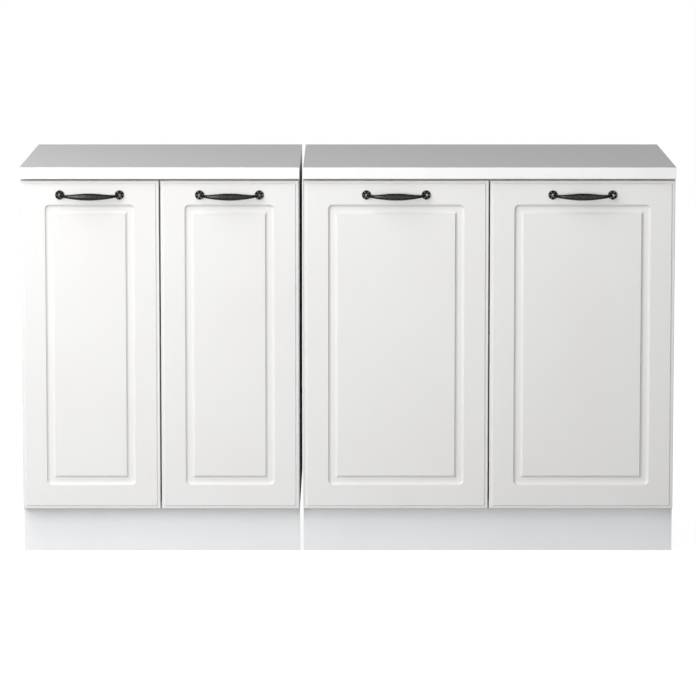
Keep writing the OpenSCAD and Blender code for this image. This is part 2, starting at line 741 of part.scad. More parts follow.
unit(wide_x) door(wide_w, false);  // wide_door_left
unit(wide_x) door(wide_w, true);  // wide_door_right
unit(wide_x) hinge_cups(wide_w, false);  // wide_hinge_cups_left
unit(wide_x) hinge_cups(wide_w, true);  // wide_hinge_cups_right
unit(wide_x) handle(wide_w, false);  // wide_handle_left
unit(wide_x) handle(wide_w, true);  // wide_handle_right
unit(wide_x) handle_screws(wide_w, false);  // wide_handle_screws_left
unit(wide_x) handle_screws(wide_w, true);  // wide_handle_screws_right
unit(wide_x) worktop_screws(wide_w);  // wide_worktop_screws
unit(wide_x) bumpers(wide_w);  // wide_bumpers
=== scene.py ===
"""Dresses a narrow and a wide kitchen base unit that stand side by side.

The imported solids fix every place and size. Here the doors, handles, worktops, plinths, legs and
hinge fittings are modelled again with the detail that shows, the boards get eased edges, and every
surface gets its finish. Sizes are in metres, written as millimetres times MM.
"""
from __future__ import annotations

import logging
import math
from contextlib import contextmanager
from dataclasses import dataclass, field
from enum import Enum
from functools import cached_property
from typing import Any, Callable, Iterable, Iterator

import bmesh
import bpy
from mathutils import Matrix, Vector


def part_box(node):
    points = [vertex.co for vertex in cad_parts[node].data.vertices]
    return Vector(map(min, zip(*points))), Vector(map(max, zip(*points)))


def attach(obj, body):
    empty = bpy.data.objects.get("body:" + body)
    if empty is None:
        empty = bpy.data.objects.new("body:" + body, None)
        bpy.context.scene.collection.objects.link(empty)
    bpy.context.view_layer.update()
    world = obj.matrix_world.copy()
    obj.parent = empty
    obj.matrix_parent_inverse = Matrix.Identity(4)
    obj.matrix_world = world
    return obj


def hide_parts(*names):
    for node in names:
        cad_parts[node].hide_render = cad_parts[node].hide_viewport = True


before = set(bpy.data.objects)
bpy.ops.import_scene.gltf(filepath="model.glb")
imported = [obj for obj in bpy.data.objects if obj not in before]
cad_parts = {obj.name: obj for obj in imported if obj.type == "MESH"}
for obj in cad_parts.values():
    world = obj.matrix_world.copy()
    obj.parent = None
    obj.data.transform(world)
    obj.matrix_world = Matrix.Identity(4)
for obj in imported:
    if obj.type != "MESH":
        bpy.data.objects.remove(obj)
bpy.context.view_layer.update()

MM = 0.001
SPECK = 0.001 * MM  # Points that lie closer together are one.
ALONG = 0.9  # A direction with at least this much of an axis counts as along it.
UNEDGED = -1.0  # The front of a board without a coated edge. No board reaches as far.
HINGE_END = 100.0 * MM  # From a door's end to the middle of its hinge.
HANDLE_PITCH = 128.0 * MM  # Between the two screws of a handle.
HANDLE_DROP = 31.0 * MM  # From a door's top to its handle's screws.
log = logging.getLogger("base_units")

Piece = bpy.types.Object
Triple = tuple[float, float, float]
Pair = tuple[float, float]
Test = Callable[[Vector, Vector], bool]


def node_operator(operation: str, swapped: bool = False) -> Callable[..., Wire]:
    """Makes an operator of Wire.

    Args:
        operation: Blender's name of the Math node's operation.
        swapped: True for the reflected form, which takes the other value first.

    Returns:
        The method, which adds the node and gives its result.
    """
    def method(wire: Wire, other: Value = 0.0) -> Wire:
        """Adds the Math node."""
        first, second = (other, wire) if swapped else (wire, other)
        return wire.recipe.node("ShaderNodeMath", {"operation": operation}, {0: first, 1: second})
    return method


class Wire:
    """A node's output socket. An expression on wires and numbers adds its Math nodes.

    A comparison gives 1 where it holds and 0 elsewhere. The two are each other's reflected form.
    """

    def __init__(self, recipe: Recipe, socket: bpy.types.NodeSocket) -> None:
        """Keeps the socket and the recipe that it belongs to."""
        self.recipe = recipe
        self.socket = socket

    __add__ = node_operator("ADD")
    __radd__ = node_operator("ADD", swapped=True)
    __sub__ = node_operator("SUBTRACT")
    __rsub__ = node_operator("SUBTRACT", swapped=True)
    __mul__ = node_operator("MULTIPLY")
    __rmul__ = node_operator("MULTIPLY", swapped=True)
    __lt__ = node_operator("LESS_THAN")
    __gt__ = node_operator("GREATER_THAN")
    __abs__ = node_operator("ABSOLUTE")
    sine = node_operator("SINE")


Value = Wire | float
Tint = Wire | Triple


class Recipe:
    """A node tree around the shader that it ends in."""

    def __init__(self, tree: bpy.types.NodeTree, shader: str = "Principled BSDF") -> None:
        """Keeps the tree and finds the shader in it by its name."""
        self.tree = tree
        self.shader = tree.nodes[shader]

    @cached_property
    def place(self) -> Wire:
        """The place on the piece."""
        return self.node("ShaderNodeTexCoord", output="Object")

    @cached_property
    def normal(self) -> Wire:
        """The way that the piece's surface looks."""
        return self.node("ShaderNodeTexCoord", output="Normal")

    def node(self, kind: str, settings: dict[str, Any] | None = None,
             inputs: dict[int | str, Any] | None = None, output: int | str = 0) -> Wire:
        """Adds a node.

        Args:
            kind: Blender's type name of the node.
            settings: The node's own settings, which are set before its sockets.
            inputs: A value or a wire for each socket, by number or name.
            output: The number or name of the result.

        Returns:
            The wire of that result.
        """
        made = self.tree.nodes.new(kind)
        for key, value in (settings or {}).items():
            setattr(made, key, value)
        for key, value in (inputs or {}).items():
            self._feed(made.inputs[key], value)
        return Wire(self, made.outputs[output])

    def _feed(self, socket: bpy.types.NodeSocket, value: Any) -> None:
        """Links a wire to a socket, or writes a plain value on it.

        Args:
            socket: The socket.
            value: A wire, a number or three numbers.
        """
        if isinstance(value, Wire):
            self.tree.links.new(value.socket, socket)
        elif socket.type == "RGBA":
            socket.default_value = (*value, 1.0)
        else:
            socket.default_value = value

    def shade(self, **sockets: Any) -> None:
        """Sets the shader.

        Args:
            **sockets: A value or a wire for each socket, with its name in small letters.
        """
        names = {socket.name.lower().replace(" ", "_"): socket for socket in self.shader.inputs}
        for name, value in sockets.items():
            self._feed(names[name], value)

    def axes(self, vector: Wire) -> tuple[Wire, ...]:
        """Splits a vector into its three parts."""
        split = self.node("ShaderNodeSeparateXYZ", inputs={0: vector}).socket.node
        return tuple(Wire(self, part) for part in split.outputs)

    def noise(self, scale: float | Triple, detail: float) -> Wire:
        """Adds a cloudy pattern.

        Args:
            scale: Its number of clouds to the metre, along every axis or along each.
            detail: How many finer layers it has.

        Returns:
            Its value from 0 to 1.
        """
        at = self.place
        if isinstance(scale, tuple):
            at = self.node("ShaderNodeVectorMath", {"operation": "MULTIPLY"}, {0: at, 1: scale})
            scale = 1.0
        return self.node("ShaderNodeTexNoise", inputs={"Vector": at, "Scale": scale, "Detail": detail})

    def cells(self, scale: float) -> Wire:
        """Adds a pattern of irregular cells, so many to the metre."""
        return self.node("ShaderNodeTexVoronoi", inputs={"Vector": self.place, "Scale": scale},
                         output="Color")

    def mask(self, value: Wire, low: float, high: float) -> Wire:
        """Turns a value to 0 below low and 1 above high, softly in between."""
        return self.node("ShaderNodeMapRange", {"interpolation_type": "SMOOTHSTEP"},
                         {0: value, 1: low, 2: high, 3: 0.0, 4: 1.0})

    def mix(self, share: Value, first: Tint, second: Tint) -> Wire:
        """Mixes two colours: the first where share is 0, the second where it is 1."""
        return self.node("ShaderNodeMix", {"data_type": "RGBA"}, {0: share, 6: first, 7: second}, output=2)

    def bump(self, height: Wire, strength: float, distance: float) -> Wire:
        """Turns a height into a normal."""
        return self.node("ShaderNodeBump",
                         inputs={"Strength": strength, "Distance": distance, "Height": height})

    def seen(self) -> Wire:
        """Gives 1 on the rays that show the background, and 0 on the others.

        Returns:
            The share of rays to the eye, in gloss and through glass.
        """
        eye, gloss, glass = (self.node("ShaderNodeLightPath", output=f"Is {ray} Ray")
                             for ray in ("Camera", "Glossy", "Transmission"))
        return self.node("ShaderNodeMath", {"operation": "ADD", "use_clamp": True},
                         {0: eye + gloss, 1: glass})


@dataclass(frozen=True)
class Finish:
    """A surface finish, with the name of the material slot that it stands for."""

    name: str
    slot: str

    def write(self, recipe: Recipe) -> None:
        """Writes the finish's nodes."""
        raise NotImplementedError

    def material(self) -> bpy.types.Material:
        """Makes the material at its first use.

        Returns:
            The material of the finish's name.
        """
        found = bpy.data.materials.get(self.name)
        if found is None:
            found = bpy.data.materials.new(self.name)
            found.use_nodes = True
            self.write(Recipe(found.node_tree))
        return found

    def dress(self, piece: Piece) -> None:
        """Gives a piece this finish alone."""
        piece.data.materials.clear()
        piece.data.materials.append(self.material())


@dataclass(frozen=True)
class PressedFoil(Finish):
    """Satin white foil pressed over shaped board, with a faint orange peel and handling marks."""

    name: str = "pressed_foil"
    slot: str = "door_foil"
    clean: Triple = (0.80, 0.795, 0.785)
    handled: Triple = (0.785, 0.777, 0.764)
    satin: float = 0.36
    smear: float = 0.10

    def write(self, recipe: Recipe) -> None:
        """Writes the foil.

        Args:
            recipe: The material's node tree.
        """
        marked = recipe.mask(recipe.noise(scale=3.5, detail=4.0), low=0.42, high=0.7)
        wiped = recipe.noise(scale=(9.0, 9.0, 2.5), detail=3.0)
        peel = recipe.noise(scale=420.0, detail=1.0) * 0.7 + recipe.noise(scale=1500.0, detail=2.0) * 0.3
        recipe.shade(base_color=recipe.mix(marked, self.clean, self.handled),
                     roughness=(wiped - 0.5) * self.smear + self.satin,
                     normal=recipe.bump(peel, strength=0.05, distance=0.3 * MM))


class BoardFace(Enum):
    """The axis that a board's coated faces look along."""

    SIDE = 0
    FLAT = 2


@dataclass(frozen=True)
class CoatedBoard(Finish):
    """White coated chipboard: its faces and its front edge are white, and its cut edges are raw."""

    slot: str = "carcass_white"
    face: BoardFace = BoardFace.FLAT
    front_y: float = UNEDGED
    edge_depth: float = 1.2 * MM
    coat: Triple = (0.80, 0.80, 0.795)
    coat_shade: Triple = (0.77, 0.768, 0.76)
    chip_light: Triple = (0.52, 0.37, 0.21)
    chip_dark: Triple = (0.25, 0.15, 0.075)
    raw_rough: float = 0.85
    coat_gloss: float = 0.42

    def write(self, recipe: Recipe) -> None:
        """Writes the coat, the raw edge and what parts them.

        Args:
            recipe: The material's node tree.
        """
        coated = recipe.mask(abs(recipe.axes(recipe.normal)[self.face.value]), low=0.55, high=0.6)
        edged = recipe.axes(recipe.place)[1] < self.front_y + self.edge_depth
        white = recipe.mask(coated + edged, low=0.4, high=0.6)
        chips = recipe.axes(recipe.cells(scale=460.0))[0]
        grains = chips * 0.6 + recipe.noise(scale=800.0, detail=4.0) * 0.4
        raw = recipe.mix(recipe.mask(grains, low=0.2, high=0.8), self.chip_dark, self.chip_light)
        clouds = recipe.noise(scale=4.0, detail=3.0)
        coat = recipe.mix(recipe.mask(clouds, low=0.4, high=0.7), self.coat, self.coat_shade)
        height = grains * (1.0 - white) + recipe.noise(scale=1100.0, detail=2.0) * white * 0.12
        recipe.shade(base_color=recipe.mix(white, raw, coat),
                     roughness=white * -self.coat_gloss + self.raw_rough + (clouds - 0.5) * 0.08,
                     normal=recipe.bump(height, strength=0.5, distance=0.35 * MM))


@dataclass(frozen=True)
class Laminate(Finish):
    """Worktop laminate: matt grey on top, white strips on the edges and brown backing paper below."""

    name: str = "worktop_laminate_grey"
    slot: str = "worktop_laminate"
    top: Triple = (0.43, 0.425, 0.437)
    top_fleck: Triple = (0.397, 0.392, 0.404)
    strip: Triple = (0.92, 0.92, 0.92)
    strip_worn: Triple = (0.8924, 0.8924, 0.8924)
    backing: Triple = (0.35, 0.27, 0.19)
    backing_dark: Triple = (0.2625, 0.2025, 0.1425)

    def write(self, recipe: Recipe) -> None:
        """Writes the top, the strips and the backing.

        Args:
            recipe: The material's node tree.
        """
        up = recipe.axes(recipe.normal)[2]
        on_top, below = (recipe.mask(way, low=0.8, high=0.86) for way in (up, up * -1.0))
        flecks = recipe.noise(scale=900.0, detail=3.0) * 0.6 + recipe.noise(scale=160.0, detail=3.0) * 0.4
        grey = recipe.mix(recipe.mask(flecks, low=0.4, high=0.62), self.top, self.top_fleck)
        worn = recipe.mask(recipe.noise(scale=9.0, detail=3.0), low=0.4, high=0.7)
        edges = recipe.mix(worn, self.strip, self.strip_worn)
        paper = recipe.mix(recipe.noise(scale=60.0, detail=5.0), self.backing, self.backing_dark)
        grain = recipe.noise(scale=1700.0, detail=2.0)
        recipe.shade(base_color=recipe.mix(below, recipe.mix(on_top, edges, grey), paper),
                     roughness=on_top * 0.17 + 0.36 + below * 0.4 + (flecks - 0.5) * 0.1,
                     normal=recipe.bump(grain, strength=0.16, distance=0.2 * MM))


@dataclass(frozen=True)
class Hardboard(Finish):
    """Thin back panel: painted white towards the inside, brown pressed fibre outside."""

    name: str = "back_hardboard"
    slot: str = "back_board"
    paint: Triple = (0.77, 0.765, 0.755)
    fibre_light: Triple = (0.36, 0.24, 0.14)
    fibre_dark: Triple = (0.24, 0.15, 0.085)
    mesh: float = 2600.0

    def write(self, recipe: Recipe) -> None:
        """Writes the painted face and the mesh-marked back.

        Args:
            recipe: The material's node tree.
        """
        inside = recipe.mask(recipe.axes(recipe.normal)[1] * -1.0, low=0.5, high=0.6)
        fibres = recipe.noise(scale=(260.0, 260.0, 900.0), detail=6.0)
        x, _, z = recipe.axes(recipe.place)
        mesh = (x * self.mesh).sine() * (z * self.mesh).sine()
        brown = recipe.mix(recipe.mask(fibres, low=0.3, high=0.7), self.fibre_dark, self.fibre_light)
        height = (fibres * 0.6 + mesh * 0.4) * (1.0 - inside) + fibres * inside * 0.15
        recipe.shade(base_color=recipe.mix(inside, brown, self.paint),
                     roughness=0.78 - inside * 0.3 + (fibres - 0.5) * 0.12,
                     normal=recipe.bump(height, strength=0.35, distance=0.4 * MM))


@dataclass(frozen=True)
class AntiqueIron(Finish):
    """Blackened cast metal, worn to the metal on its ridges; the grip's front facets are paler, partly hand
    wear, partly painted sheen.
    """

    name: str = "blackened_iron"
    slot: str = "antique_iron"
    black: Triple = (0.003, 0.003, 0.003)
    rubbed_and_sheen: Triple = (0.42, 0.41, 0.40)
    door_face: float = 0.0
    grip_from: float = 10.0 * MM
    grip_full: float = 15.0 * MM
    gloss: float = 0.06

    def write(self, recipe: Recipe) -> None:
        """Writes the black, the worn ridges, the grip's paler front facets (hand wear and painted sheen) and
        the cast skin.

        Args:
            recipe: The material's node tree.
        """
        ridge = recipe.node("ShaderNodeNewGeometry", output="Pointiness")
        blotch = recipe.noise(scale=260.0, detail=5.0)
        worn = recipe.mask(ridge + (blotch - 0.5) * 0.03, low=0.528, high=0.555)
        # Painted sheen: the grip's facets that face out from the door get a paler, metallic colour. This is
        # partly hand wear and partly stands in for the reflection that they catch.
        outwards = self.door_face - recipe.axes(recipe.place)[1]
        facing = recipe.axes(recipe.normal)[1] * -1.0
        grip = recipe.mask(outwards, self.grip_from, self.grip_full)
        hand_wear_and_sheen = grip * recipe.mask(facing, low=0.8, high=0.92)
        bare_and_sheen = worn * 0.85 + hand_wear_and_sheen * (blotch * 0.12 + 0.03)
        skin = recipe.noise(scale=1500.0, detail=3.0)
        recipe.shade(base_color=recipe.mix(bare_and_sheen, self.black, self.rubbed_and_sheen), specular_ior_level=self.gloss,
                     metallic=recipe.mask(bare_and_sheen, low=0.0, high=0.1), roughness=0.28 + (blotch - 0.5) * 0.14,
                     normal=recipe.bump(skin, strength=0.12, distance=0.15 * MM))


@dataclass(frozen=True)
class PlatedMetal(Finish):
    """Bare or nickel plated metal with fine drawn lines and a little tarnish."""

    bright: Triple = (0.66, 0.655, 0.64)
    tarnished: Triple = (0.50, 0.485, 0.455)
    polish: float = 0.28
    lines: Triple = (250.0, 250.0, 4000.0)

    def write(self, recipe: Recipe) -> None:
        """Writes the plating and its drawn lines.

        Args:
            recipe: The material's node tree.
        """
        drawn = recipe.noise(self.lines, detail=3.0)
        spots = recipe.noise(scale=140.0, detail=5.0)
        dull = recipe.mask(spots, low=0.45, high=0.75)
        recipe.shade(base_color=recipe.mix(dull, self.bright, self.tarnished), metallic=1.0,
                     roughness=self.polish + (drawn - 0.5) * 0.16 + (spots - 0.5) * 0.14,
                     normal=recipe.bump(drawn, strength=0.12, distance=0.1 * MM))


@dataclass(frozen=True)
class MouldedPlastic(Finish):
    """Black moulded plastic with a fine spark-eroded skin and pale scuffs."""

    name: str = "leg_plastic_black"
    slot: str = "leg_plastic"
    body: Triple = (0.020, 0.020, 0.021)
    scuff: Triple = (0.055, 0.054, 0.052)

    def write(self, recipe: Recipe) -> None:
        """Writes the skin and the scuffs.

        Args:
            recipe: The material's node tree.
        """
        rubs = recipe.noise(scale=(90.0, 90.0, 25.0), detail=6.0)
        scuffed = recipe.mask(rubs, low=0.52, high=0.75)
        skin = recipe.noise(scale=1900.0, detail=2.0)
        recipe.shade(base_color=recipe.mix(scuffed, self.body, self.scuff),
                     roughness=0.46 + (rubs - 0.5) * 0.25,
                     normal=recipe.bump(skin, strength=0.25, distance=0.15 * MM))


@dataclass(frozen=True)
class TurnedBeech(Finish):
    """Raw beech dowels with their grain along the dowel."""

    name: str = "dowel_beech_raw"
    slot: str = "dowel_beech"
    pale: Triple = (0.62, 0.43, 0.26)
    ray: Triple = (0.42, 0.26, 0.14)

    def write(self, recipe: Recipe) -> None:
        """Writes the grain and its short dark rays.

        Args:
            recipe: The material's node tree.
        """
        grain = recipe.noise(scale=(90.0, 1500.0, 1500.0), detail=5.0)
        rays = recipe.noise(scale=(500.0, 3500.0, 3500.0), detail=2.0)
        dark = recipe.mask(grain * 0.7 + rays * 0.3, low=0.4, high=0.65)
        recipe.shade(base_color=recipe.mix(dark, self.pale, self.ray), roughness=0.6 + (grain - 0.5) * 0.2,
                     normal=recipe.bump(grain, strength=0.4, distance=0.2 * MM))


@dataclass(frozen=True)
class SoftRubber(Finish):
    """Clear soft bumpers, a little milky and dusty."""

    name: str = "bumper_rubber_clear"
    slot: str = "bumper_clear"
    milk: Triple = (0.72, 0.75, 0.75)
    dust: Triple = (0.60, 0.60, 0.58)
    clear: float = 0.45
    ior: float = 1.45

    def write(self, recipe: Recipe) -> None:
        """Writes the milky body and the dust on it.

        Args:
            recipe: The material's node tree.
        """
        specks = recipe.noise(scale=1400.0, detail=4.0)
        dusty = recipe.mask(specks, low=0.55, high=0.7)
        recipe.shade(base_color=recipe.mix(dusty, self.milk, self.dust),
                     roughness=0.22 + (specks - 0.5) * 0.2, transmission_weight=self.clear, ior=self.ior,
                     normal=recipe.bump(specks, strength=0.08, distance=0.1 * MM))


@dataclass(frozen=True)
class WhiteGround(Finish):
    """The studio's floor, which looks white and keeps the shadow of what stands on it."""

    name: str = "studio_floor"
    slot: str = ""
    colour: Triple = (0.30, 0.30, 0.30)
    glow: float = 0.93

    def write(self, recipe: Recipe) -> None:
        """Writes the dull floor and its glow."""
        recipe.shade(base_color=self.colour, roughness=1.0, specular_ior_level=0.0,
                     emission_color=(1.0, 1.0, 1.0), emission_strength=recipe.seen() * self.glow)


FOIL = PressedFoil()
# Painted light: the plinth's foil is paler than the doors' foil, to make up for the shade that the plinth
# stands in below the doors.
LIGHTENED_PLINTH_FOIL = PressedFoil("plinth_foil", "plinth_white", (0.885, 0.898, 0.91), (0.865, 0.877, 0.888),
                          satin=0.42)
LAMINATE = Laminate()
HARDBOARD = Hardboard()
NICKEL = PlatedMetal("nickel_plate", "fitting_steel")
ZINC = PlatedMetal("cast_zinc", "fitting_zinc", (0.52, 0.52, 0.53), (0.36, 0.36, 0.37), polish=0.46,
                   lines=(900.0, 900.0, 900.0))
PLASTIC = MouldedPlastic()
BEECH = TurnedBeech()
RUBBER = SoftRubber()


def select_only(*pieces: Piece) -> None:
    """Selects these pieces alone and makes the last one active.

    Args:
        *pieces: The pieces.
    """
    bpy.ops.object.select_all(action="DESELECT")
    for piece in pieces:
        piece.select_set(True)
        bpy.context.view_layer.objects.active = piece


@contextmanager
def editing(piece: Piece, action: str = "DESELECT") -> Iterator[None]:
    """Opens a piece in edit mode, and closes it again.

    Args:
        piece: The piece to edit.
        action: DESELECT to start with nothing of it selected, SELECT for all of it.

    Yields:
        Nothing, while the piece is open.
    """
    select_only(piece)
    bpy.ops.object.mode_set(mode="EDIT")
    bpy.ops.mesh.select_all(action=action)
    yield
    bpy.ops.object.mode_set(mode="OBJECT")


def pick_faces(piece: Piece, test: Test) -> None:
    """Selects only the faces of the open piece that pass a test.

    Args:
        piece: The open piece.
        test: Says from a face's centre and normal whether it passes.
    """
    bpy.ops.mesh.select_mode(type="FACE")
    mesh = bmesh.from_edit_mesh(piece.data)
    for face in mesh.faces:
        face.select_set(test(face.calc_center_median(), face.normal))
    mesh.select_flush_mode()
    bmesh.update_edit_mesh(piece.data)


def pick_edges(piece: Piece, test: Test) -> None:
    """Selects only the edges of the open piece that pass a test.

    Args:
        piece: The open piece.
        test: Says from an edge's middle and direction whether it passes.
    """
    bpy.ops.mesh.select_mode(type="EDGE")
    mesh = bmesh.from_edit_mesh(piece.data)
    for edge in mesh.edges:
        start, end = (vertex.co for vertex in edge.verts)
        edge.select_set(test((start + end) / 2, (end - start).normalized()))
    mesh.select_flush_mode()
    bmesh.update_edit_mesh(piece.data)


def inset(width: float, rise: float = 0.0) -> None:
    """Insets the selected face by a width and moves the inner one out along its normal by a rise."""
    bpy.ops.mesh.inset(thickness=width, depth=rise, use_even_offset=True, use_boundary=True)


def shift(value: Iterable[float]) -> None:
    """Extrudes the selected faces and moves the new ones."""
    bpy.ops.mesh.extrude_region_move(TRANSFORM_OT_translate={"value": tuple(value)})


def seat(piece: Piece) -> Piece:
    """Writes a piece's place into its mesh.

    Args:
        piece: The piece.

    Returns:
        The same piece, whose object is at the origin.
    """
    select_only(piece)
    bpy.ops.object.transform_apply(location=True, rotation=True, scale=True)
    return piece


def block(name: str, low: Vector, high: Vector) -> Piece:
    """Starts a piece from a cube.

    Args:
        name: The piece's name.
        low: Its lowest corner.
        high: Its highest corner.

    Returns:
        The piece, in place.
    """
    bpy.ops.mesh.primitive_cube_add(size=1.0, location=(low + high) / 2)
    piece = bpy.context.active_object
    piece.name = name
    piece.scale = high - low
    return seat(piece)


def drum(name: str, radius: float, start: Vector, end: Vector, corners: int = 48) -> Piece:
    """Starts a piece from a cylinder.

    Args:
        name: The piece's name.
        radius: Its radius.
        start: The centre of its first end.
        end: The centre of its other end.
        corners: The number of its side faces.

    Returns:
        The piece, in place.
    """
    run = end - start
    bpy.ops.mesh.primitive_cylinder_add(vertices=corners, radius=radius, depth=run.length,
                                        location=(start + end) / 2,
                                        rotation=run.to_track_quat("Z", "Y").to_euler())
    piece = bpy.context.active_object
    piece.name = name
    return seat(piece)


def joined(name: str, *pieces: Piece) -> Piece:
    """Joins pieces into the last one.

    Args:
        name: The name of what they make up.
        *pieces: The pieces.

    Returns:
        The one piece.
    """
    select_only(*pieces)
    bpy.ops.object.join()
    pieces[-1].name = name
    return pieces[-1]


def modify(piece: Piece, kind: str, **settings: Any) -> None:
    """Gives a piece a modifier and applies it.

    Args:
        piece: The piece.
        kind: Blender's name of the modifier.
        **settings: The modifier's own settings.
    """
    select_only(piece)
    bpy.ops.object.modifier_add(type=kind)
    modifier = piece.modifiers[-1]
    for key, value in settings.items():
        setattr(modifier, key, value)
    bpy.ops.object.modifier_apply(modifier=modifier.name)


def cut(piece: Piece, tool: Piece) -> None:
    """Cuts a tool out of a piece and throws the tool away."""
    modify(piece, "BOOLEAN", operation="DIFFERENCE", solver="EXACT", object=tool)
    bpy.data.objects.remove(tool)


def smoothed(piece: Piece, angle: float = 32.0) -> None:
    """Shades a piece smooth where its faces meet at less than an angle in degrees."""
    select_only(piece)
    bpy.ops.object.shade_smooth_by_angle(angle=math.radians(angle))


def ease_edges(piece: Piece, width: float, segments: int = 2, angle: float = 30.0) -> None:
    """Rounds a piece's sharp edges and shades it.

    Args:
        piece: The piece.
        width: How far the rounding reaches on each side.
        segments: The number of faces across the rounding.
        angle: The smallest angle between faces that is rounded, in degrees.
    """
    modify(piece, "BEVEL", width=width, segments=segments, limit_method="ANGLE",
           angle_limit=math.radians(angle))
    with editing(piece, "SELECT"):
        bpy.ops.mesh.dissolve_degenerate(threshold=SPECK)
    smoothed(piece)
    modify(piece, "WEIGHTED_NORMAL", keep_sharp=True)


def faced_out(piece: Piece) -> None:
    """Turns all of a closed piece's faces outwards."""
    with editing(piece, "SELECT"):
        bpy.ops.mesh.normals_make_consistent(inside=False)


def copied(piece: Piece, name: str, matrix: Matrix) -> Piece:
    """Copies a piece with its own mesh.

    Args:
        piece: The piece to copy.
        name: The copy's name.
        matrix: Where the copy goes.

    Returns:
        The copy, in place.
    """
    select_only(piece)
    bpy.ops.object.duplicate()
    copy = bpy.context.active_object
    copy.name = name
    copy.matrix_world = matrix
    seat(copy)
    if matrix.determinant() < 0:
        faced_out(copy)
    return copy


def mirror_x(middle: float) -> Matrix:
    """Returns the reflection in the plane x = middle."""
    return Matrix.Translation((2 * middle, 0, 0)) @ Matrix.Diagonal((-1, 1, 1, 1))


def hand_over(piece: Piece, finish: Finish, node: str, body: str = "units") -> None:
    """Dresses a finished piece, ties it to its body and hides the solid that it stands for.

    Args:
        piece: The finished piece.
        finish: Its finish.
        node: The solid that it stands for.
        body: The body that it moves with.
    """
    finish.dress(piece)
    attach(piece, body)
    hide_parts(node)
    log.info("%s: %d faces, on %s", piece.name, len(piece.data.polygons), body)


class Hand(Enum):
    """The side of a unit that a door, with its fittings, belongs to."""

    LEFT = "left"
    RIGHT = "right"


@dataclass
class RoutedDoor:
    """A pair of doors in routed board: a stepped rim, a coved groove and the raised panel inside it."""

    unit: str
    rim_w: float = 7.5 * MM
    rim_drop: float = 2.0 * MM
    rim_slope: float = 0.8 * MM
    rim_round: float = 1.5 * MM
    rim_steps: int = 4
    groove_inset: float = 52.0 * MM
    groove_w: float = 21.0 * MM
    groove_d: float = 4.8 * MM
    groove_fullness: float = 4.5
    groove_steps: int = 8
    corner_steps: int = 8
    arris: float = 0.35 * MM
    cup_d: float = 35.2 * MM
    cup_deep: float = 13.1 * MM
    cup_in: float = 20.5 * MM
    screw_d: float = 4.4 * MM
    screw_corners: int = 20

    def __post_init__(self) -> None:
        """Reads the left door's lowest and highest corner."""
        self.low, self.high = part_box(f"{self.unit}_door_left")

    def _slab(self) -> Piece:
        """Makes the left door's slab with its rounded front edges.

        Returns:
            The slab, whose front lies at the rim's level.
        """
        front = self.low.y + self.rim_drop
        slab = block(f"{self.unit}_left_routed_door", Vector((self.low.x, front, self.low.z)), self.high)
        with editing(slab):
            pick_edges(slab, lambda at, run: at.y < front + self.arris)
            bpy.ops.mesh.bevel(offset=self.rim_round, segments=self.rim_steps, affect="EDGES")
        return slab

    def _pick_field(self, slab: Piece) -> None:
        """Selects the face in the middle of the door's front."""
        middle = sum((Vector(corner) for corner in slab.bound_box), Vector()) / 8
        pick_faces(slab, lambda at, normal: normal.y < -ALONG and (at - middle).xz.length < MM)

    def _groove(self, slab: Piece) -> None:
        """Sinks the groove: round outer corners down to its middle, square inner corners up again.

        Args:
            slab: The open slab, with the face inside the groove's outer edge selected.
        """
        half, deepest, straight = self.groove_w / 2, self.low.y + self.groove_d, 0.999
        stations = [math.cos(math.radians(90 * k / self.groove_steps)) for k in range(self.groove_steps + 1)]
        runs = [(half * (a - b), self.groove_d * (a ** self.groove_fullness - b ** self.groove_fullness))
                for a, b in zip(stations, stations[1:])]
        bpy.ops.mesh.bevel(offset=half, segments=self.corner_steps, affect="VERTICES")
        self._pick_field(slab)
        for width, depth in runs:
            inset(width, -depth)
        pick_edges(slab, lambda at, run: abs(at.y - deepest) < 10 * SPECK
                   and max(abs(run.x), abs(run.z)) < straight)
        bpy.ops.mesh.merge(type="COLLAPSE")
        self._pick_field(slab)
        for width, depth in reversed(runs):
            inset(width, depth)

    def _bores(self) -> Piece:
        """Makes the tool for the hinge cup bores and the handle's screw holes of the left door.

        Returns:
            The tool.
        """
        tools, low, high = [], self.low, self.high
        for z in (low.z + HINGE_END, high.z - HINGE_END):
            deep = Vector((low.x + self.cup_in, high.y - self.cup_deep, z))
            tools.append(drum("cup_bore", self.cup_d / 2, deep, deep + Vector((0, self.cup_deep + MM, 0))))
        middle, level = (low.x + high.x) / 2, high.z - HANDLE_DROP
        for x in (middle - HANDLE_PITCH / 2, middle + HANDLE_PITCH / 2):
            tools.append(drum("screw_hole", self.screw_d / 2, Vector((x, low.y - MM, level)),
                              Vector((x, high.y + MM, level)), self.screw_corners))
        return joined("bores", *tools)

    def build(self) -> None:
        """Models the left door, mirrors it for the right one and dresses both."""
        left = self._slab()
        with editing(left):
            self._pick_field(left)
            inset(self.rim_w - self.rim_slope - self.rim_round)
            inset(self.rim_slope, self.rim_drop)
            inset(self.groove_inset - self.rim_w)
            self._groove(left)
        cut(left, self._bores())
        middle = (self.low.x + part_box(f"{self.unit}_door_right")[1].x) / 2
        right = copied(left, f"{self.unit}_right_routed_door", mirror_x(middle))
        for hand, door in ((Hand.LEFT, left), (Hand.RIGHT, right)):
            ease_edges(door, self.arris)
            hand_over(door, FOIL, f"{self.unit}_door_{hand.value}", f"{self.unit}_{hand.value}_leaf")


